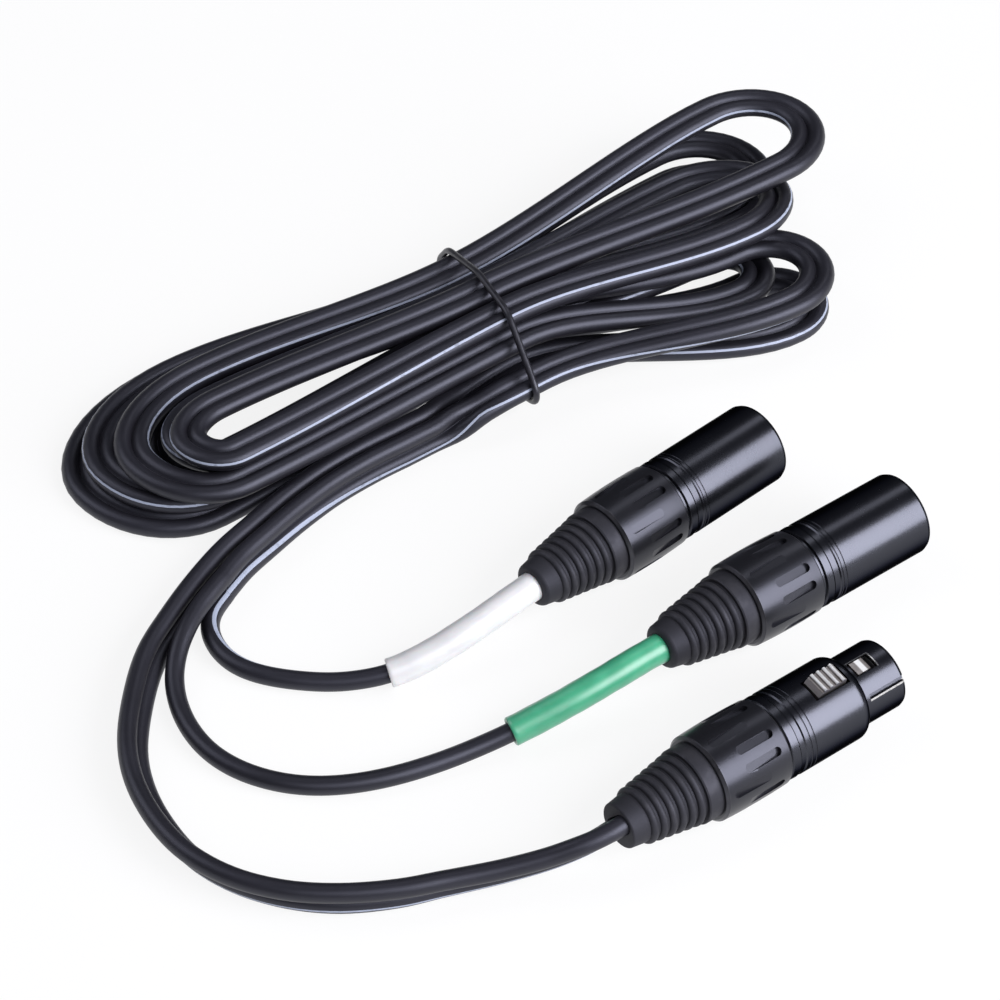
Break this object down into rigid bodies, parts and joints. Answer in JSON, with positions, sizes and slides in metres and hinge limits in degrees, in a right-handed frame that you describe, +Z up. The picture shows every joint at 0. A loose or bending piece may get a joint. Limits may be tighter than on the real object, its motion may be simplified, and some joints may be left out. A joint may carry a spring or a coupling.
{
  "type": "audio y cable",
  "caption": "Flat twin cable folded into a tied hank, with one latching round socket at one end and two single leads to round pin plugs at the other.",
  "frame": {"origin": "centre of the layout's bounding box, on the floor the cable lies on", "axes": "+X along the connectors towards their mating faces, +Y from the connectors to the hank, +Z up"},
  "size_m": [0.2519, 0.1923, 0.0231],
  "materials": {
    "shell_black": "satin black finish on cast metal",
    "nut_black": "satin moulded plastic",
    "boot_rubber": "matte elastomer",
    "insulator_black": "moulded insulating plastic",
    "collet_black": "moulded plastic",
    "contact_gold": "gold-plated",
    "latch_silver": "bright nickel",
    "spring_steel": "spring strip",
    "jacket_black": "satin flexible jacket",
    "sleeve_white": "satin marker sleeve",
    "sleeve_green": "satin marker sleeve",
    "tie_black": "elastic cord"
  },
  "bodies": {
    "cable": {"plug_1_shell": "shell_black", "plug_1_insulator": "insulator_black", "plug_1_contacts": "contact_gold", "plug_1_collet": "collet_black", "plug_1_nut": "nut_black", "plug_1_boot": "boot_rubber", "plug_1_sleeve": "sleeve_white", "plug_2_shell": "shell_black", "plug_2_insulator": "insulator_black", "plug_2_contacts": "contact_gold", "plug_2_collet": "collet_black", "plug_2_nut": "nut_black", "plug_2_boot": "boot_rubber", "plug_2_sleeve": "sleeve_green", "socket_housing": "shell_black", "socket_insulator": "insulator_black", "socket_contacts": "contact_gold", "socket_latch_spring": "spring_steel", "socket_collet": "collet_black", "socket_nut": "nut_black", "socket_boot": "boot_rubber", "lead_socket": "jacket_black", "hank": "jacket_black", "tail_twin": "jacket_black", "lead_plug_1": "jacket_black", "lead_plug_2": "jacket_black", "tie": "tie_black"},
    "latch": {"socket_latch": "latch_silver"}
  },
  "joints": [
    {"name": "latch_press", "type": "hinge", "parent": "cable", "child": "latch", "pos_m": [-0.0076, -0.08692, 0.01584], "axis": [0, 0.9903, 0.1392], "range_deg": [0, 5.5], "stiffness_Nm_per_rad": 0.4, "deforming": ["socket_latch_spring"]}
  ]
}
